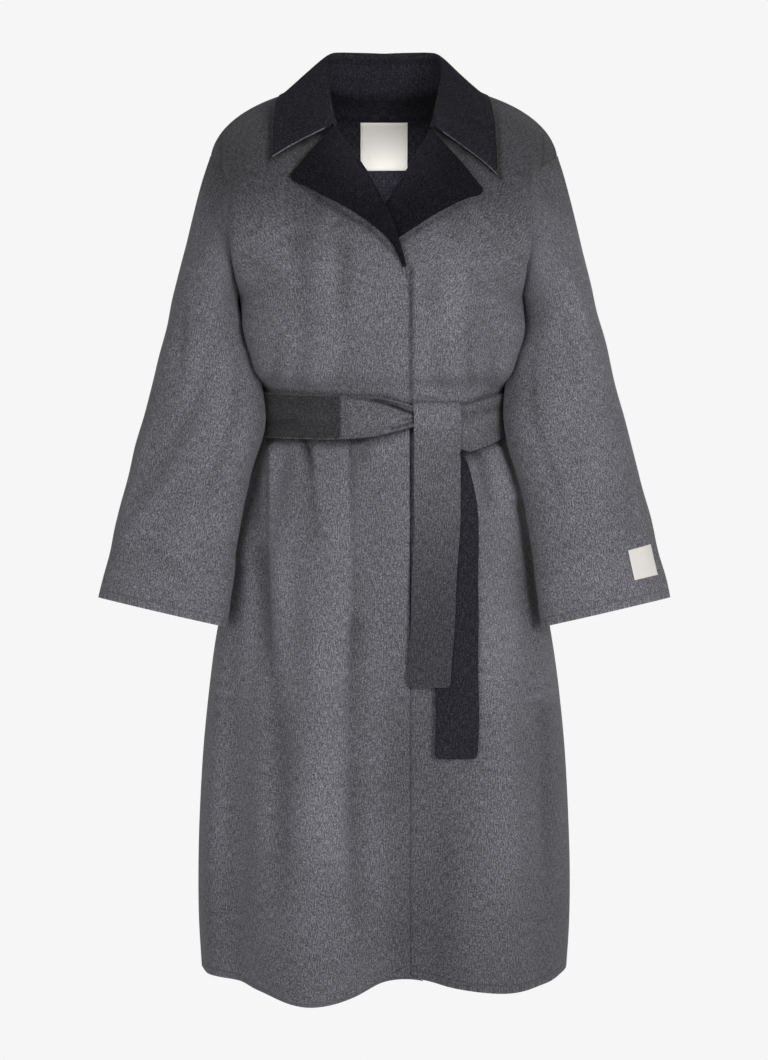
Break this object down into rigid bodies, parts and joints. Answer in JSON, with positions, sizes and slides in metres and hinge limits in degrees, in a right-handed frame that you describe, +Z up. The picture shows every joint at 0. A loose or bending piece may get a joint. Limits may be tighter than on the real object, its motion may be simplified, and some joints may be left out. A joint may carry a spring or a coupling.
{
  "type": "belted wrap coat",
  "caption": "Long belted wrap coat of two-faced wool with notched lapels and wide sleeves, held open and hollow as if worn.",
  "frame": {"origin": "on the centre line at the neck, level with the top of the shoulder seams, where a wearer or hanger holds the coat up", "axes": "+Z up, -Y to the front, +X to the wearer's left"},
  "size_m": [0.73, 0.3645, 1.2008],
  "materials": {
    "coat_cloth": "brushed wool",
    "reverse_cloth": "brushed wool",
    "label_cloth": "woven satin"
  },
  "bodies": {
    "root": {"back": "coat_cloth", "front_right": "coat_cloth", "front_left": "coat_cloth", "sleeve_right": "coat_cloth", "sleeve_left": "coat_cloth", "belt_band": "coat_cloth", "belt_knot": "coat_cloth", "belt_tail_front": "coat_cloth", "belt_tail_back": "reverse_cloth", "collar": "reverse_cloth", "lapel_right": "reverse_cloth", "lapel_left": "reverse_cloth", "neck_label": "label_cloth", "sleeve_label": "label_cloth"}
  },
  "joints": []
}
